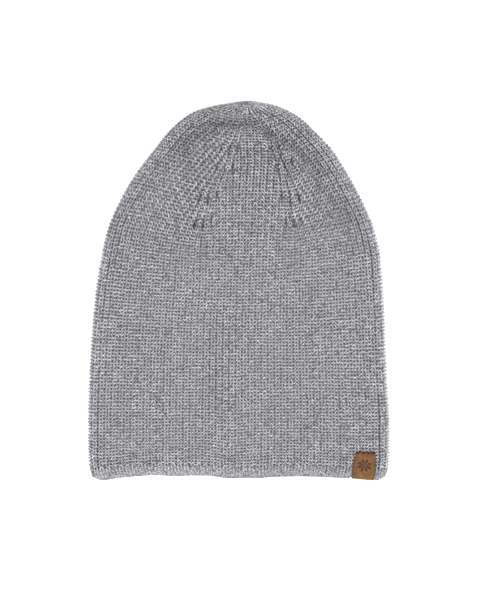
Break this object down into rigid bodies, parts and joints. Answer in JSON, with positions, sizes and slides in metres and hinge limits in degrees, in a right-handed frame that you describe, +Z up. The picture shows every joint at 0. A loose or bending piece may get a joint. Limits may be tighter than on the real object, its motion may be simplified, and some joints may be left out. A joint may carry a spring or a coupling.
{
  "type": "knit beanie",
  "caption": "Slouchy rib-knit beanie lying flat, hollow with an open hem, closing gather at the crown and a small leather label folded over the hem.",
  "frame": {"origin": "middle of the bounding box in plan, on the surface that the beanie lies on", "axes": "+X to the right as seen from above with the hem towards the viewer, +Y from the hem to the crown, +Z up out of the surface"},
  "size_m": [0.231, 0.293, 0.026],
  "materials": {
    "knit": "heather grey half-cardigan rib knit, matt and slightly fuzzy",
    "leather": "tan-brown smooth leather, matt, with darker cut edges"
  },
  "bodies": {
    "root": {"knit_shell": "knit", "leather_label": "leather"}
  },
  "joints": []
}
